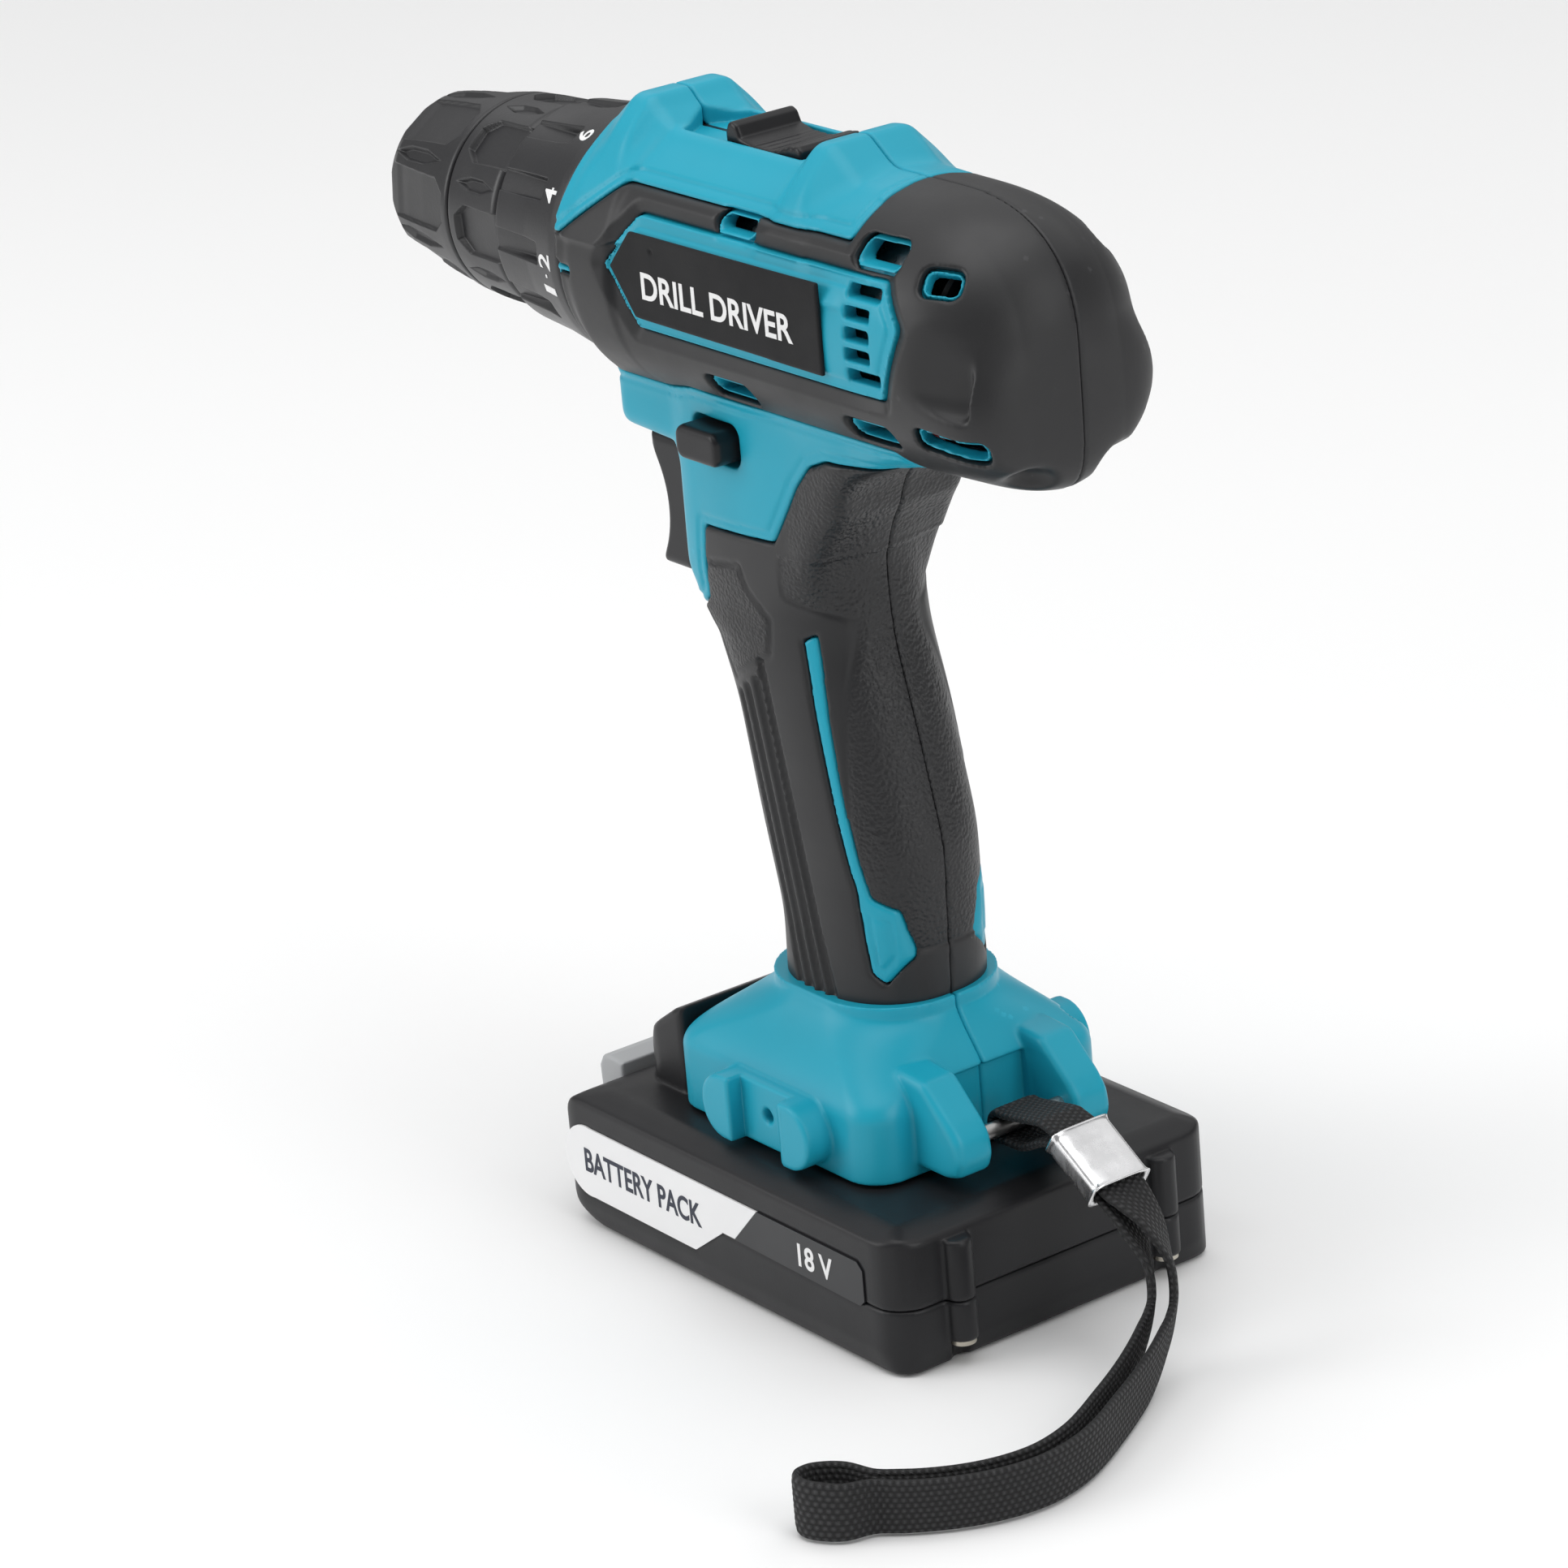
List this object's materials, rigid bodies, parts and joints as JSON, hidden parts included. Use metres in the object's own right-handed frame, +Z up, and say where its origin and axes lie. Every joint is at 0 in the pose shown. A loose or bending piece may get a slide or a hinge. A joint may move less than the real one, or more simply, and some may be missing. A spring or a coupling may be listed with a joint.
{
  "type": "cordless drill",
  "caption": "Pistol-grip cordless drill driver with keyless chuck, torque ring, slide-in battery pack and a webbing wrist strap.",
  "frame": {"origin": "middle of the battery pack's flat underside, on the body's parting plane", "axes": "-X towards the chuck's nose, +Z up, operator's left side is -Y"},
  "size_m": [0.2187, 0.1221, 0.2155],
  "materials": {
    "teal_plastic": "satin, fine moulded grain",
    "black_rubber": "matt, pebbled in panels",
    "black_plastic": "satin, fine moulded grain",
    "steel": "turned and blasted",
    "magnet": "sintered",
    "copper": "enamelled",
    "brass": "machined",
    "aluminium": "extruded",
    "webbing": "woven",
    "cell_wrap": "shrink wrap",
    "circuit": "solder mask",
    "grey_plastic": "satin",
    "label": "printed film"
  },
  "bodies": {
    "drill": {"housing_left": "teal_plastic", "housing_right": "teal_plastic", "overmould_left": "black_rubber", "overmould_right": "black_rubber", "badge_left": "black_plastic", "badge_right": "black_plastic", "housing_screws": "steel", "clutch_spring": "steel", "clutch_washer": "steel", "gearbox_case": "black_plastic", "ring_gear_front": "steel", "ring_gear_rear": "steel", "spindle_bearing": "steel", "spindle_bush": "brass", "motor_can": "steel", "motor_magnets": "magnet", "motor_end_cap": "black_plastic", "brushes": "copper", "trigger_spring": "steel", "switch_module": "black_plastic", "heat_sink": "aluminium", "selector_plate": "black_plastic", "motor_leads": "copper", "terminal_block": "brass", "strap_pin": "steel", "wrist_strap": "webbing", "strap_ferrule": "steel"},
    "chuck": {"spindle": "steel", "chuck_body": "steel", "chuck_rear_sleeve": "black_plastic", "chuck_screw": "steel"},
    "grip_sleeve": {"chuck_front_sleeve": "black_plastic", "chuck_nut": "steel"},
    "jaw_1": {"chuck_jaw_1": "steel"},
    "jaw_2": {"chuck_jaw_2": "steel"},
    "jaw_3": {"chuck_jaw_3": "steel"},
    "clutch_ring": {"torque_ring": "black_plastic"},
    "first_carrier": {"carrier_first": "steel"},
    "front_planet_1": {"planet_front_1": "steel"},
    "front_planet_2": {"planet_front_2": "steel"},
    "front_planet_3": {"planet_front_3": "steel"},
    "rear_planet_1": {"planet_rear_1": "steel"},
    "rear_planet_2": {"planet_rear_2": "steel"},
    "rear_planet_3": {"planet_rear_3": "steel"},
    "motor_rotor": {"rotor": "steel", "rotor_windings": "copper", "motor_pinion": "brass", "fan": "black_plastic"},
    "trigger_button": {"trigger": "black_plastic"},
    "reverse_lever": {"direction_lever": "black_plastic"},
    "gear_selector": {"speed_selector": "black_plastic"},
    "battery": {"battery_case_lower": "black_plastic", "battery_case_upper": "black_plastic", "battery_cells": "cell_wrap", "battery_circuit": "circuit", "battery_contacts": "brass", "battery_screws": "brass", "battery_label_left": "label", "battery_label_right": "label"},
    "latch_button": {"battery_latch": "grey_plastic"}
  },
  "joints": [
    {"name": "chuck_spin", "type": "hinge", "parent": "drill", "child": "chuck", "pos_m": [0, 0, 0.186], "axis": [-1, 0, 0], "continuous": true},
    {"name": "sleeve_turn", "type": "hinge", "parent": "chuck", "child": "grip_sleeve", "pos_m": [0, 0, 0.186], "axis": [-1, 0, 0], "range_deg": [0, 1440]},
    {"name": "jaw_1_slide", "type": "slide", "parent": "chuck", "child": "jaw_1", "axis": [-0.9511, 0, -0.309], "range_m": [0, 0.0115]},
    {"name": "jaw_2_slide", "type": "slide", "parent": "chuck", "child": "jaw_2", "axis": [-0.9511, 0.2676, 0.1545], "range_m": [0, 0.0115]},
    {"name": "jaw_3_slide", "type": "slide", "parent": "chuck", "child": "jaw_3", "axis": [-0.9511, -0.2676, 0.1545], "range_m": [0, 0.0115]},
    {"name": "clutch_turn", "type": "hinge", "parent": "drill", "child": "clutch_ring", "pos_m": [0, 0, 0.186], "axis": [-1, 0, 0], "range_deg": [0, 300]},
    {"name": "carrier_spin", "type": "hinge", "parent": "drill", "child": "first_carrier", "pos_m": [0, 0, 0.186], "axis": [-1, 0, 0], "continuous": true},
    {"name": "front_planet_1_spin", "type": "hinge", "parent": "chuck", "child": "front_planet_1", "pos_m": [-0.0245, 0, 0.1965], "axis": [-1, 0, 0], "continuous": true},
    {"name": "front_planet_2_spin", "type": "hinge", "parent": "chuck", "child": "front_planet_2", "pos_m": [-0.0245, -0.00909, 0.18075], "axis": [-1, 0, 0], "continuous": true},
    {"name": "front_planet_3_spin", "type": "hinge", "parent": "chuck", "child": "front_planet_3", "pos_m": [-0.0245, 0.00909, 0.18075], "axis": [-1, 0, 0], "continuous": true},
    {"name": "rear_planet_1_spin", "type": "hinge", "parent": "first_carrier", "child": "rear_planet_1", "pos_m": [-0.0115, 0, 0.1965], "axis": [-1, 0, 0], "continuous": true},
    {"name": "rear_planet_2_spin", "type": "hinge", "parent": "first_carrier", "child": "rear_planet_2", "pos_m": [-0.0115, -0.00909, 0.18075], "axis": [-1, 0, 0], "continuous": true},
    {"name": "rear_planet_3_spin", "type": "hinge", "parent": "first_carrier", "child": "rear_planet_3", "pos_m": [-0.0115, 0.00909, 0.18075], "axis": [-1, 0, 0], "continuous": true},
    {"name": "rotor_spin", "type": "hinge", "parent": "drill", "child": "motor_rotor", "pos_m": [0, 0, 0.186], "axis": [-1, 0, 0], "continuous": true},
    {"name": "trigger_pull", "type": "slide", "parent": "drill", "child": "trigger_button", "axis": [1, 0, 0], "range_m": [0, 0.007], "stiffness_N_per_m": 900, "springref_m": -0.003},
    {"name": "lever_push", "type": "slide", "parent": "drill", "child": "reverse_lever", "axis": [0, 1, 0], "range_m": [-0.0035, 0.0035]},
    {"name": "selector_slide", "type": "slide", "parent": "drill", "child": "gear_selector", "axis": [-1, 0, 0], "range_m": [0, 0.009]},
    {"name": "battery_slide", "type": "slide", "parent": "drill", "child": "battery", "axis": [-1, 0, 0], "range_m": [0, 0.06]},
    {"name": "latch_press", "type": "slide", "parent": "battery", "child": "latch_button", "axis": [0, 0, -1], "range_m": [0, 0.0025], "stiffness_N_per_m": 1500, "springref_m": -0.001}
  ],
  "couplings": [
    {"joint": "jaw_1_slide", "follows": "sleeve_turn", "m_per_rad": 0.00045757},
    {"joint": "jaw_2_slide", "follows": "sleeve_turn", "m_per_rad": 0.00045757},
    {"joint": "jaw_3_slide", "follows": "sleeve_turn", "m_per_rad": 0.00045757},
    {"joint": "carrier_spin", "follows": "chuck_spin", "ratio": 5},
    {"joint": "rotor_spin", "follows": "chuck_spin", "ratio": 25},
    {"joint": "front_planet_1_spin", "follows": "chuck_spin", "ratio": -2.6667},
    {"joint": "front_planet_2_spin", "follows": "chuck_spin", "ratio": -2.6667},
    {"joint": "front_planet_3_spin", "follows": "chuck_spin", "ratio": -2.6667},
    {"joint": "rear_planet_1_spin", "follows": "chuck_spin", "ratio": -13.333},
    {"joint": "rear_planet_2_spin", "follows": "chuck_spin", "ratio": -13.333},
    {"joint": "rear_planet_3_spin", "follows": "chuck_spin", "ratio": -13.333}
  ]
}
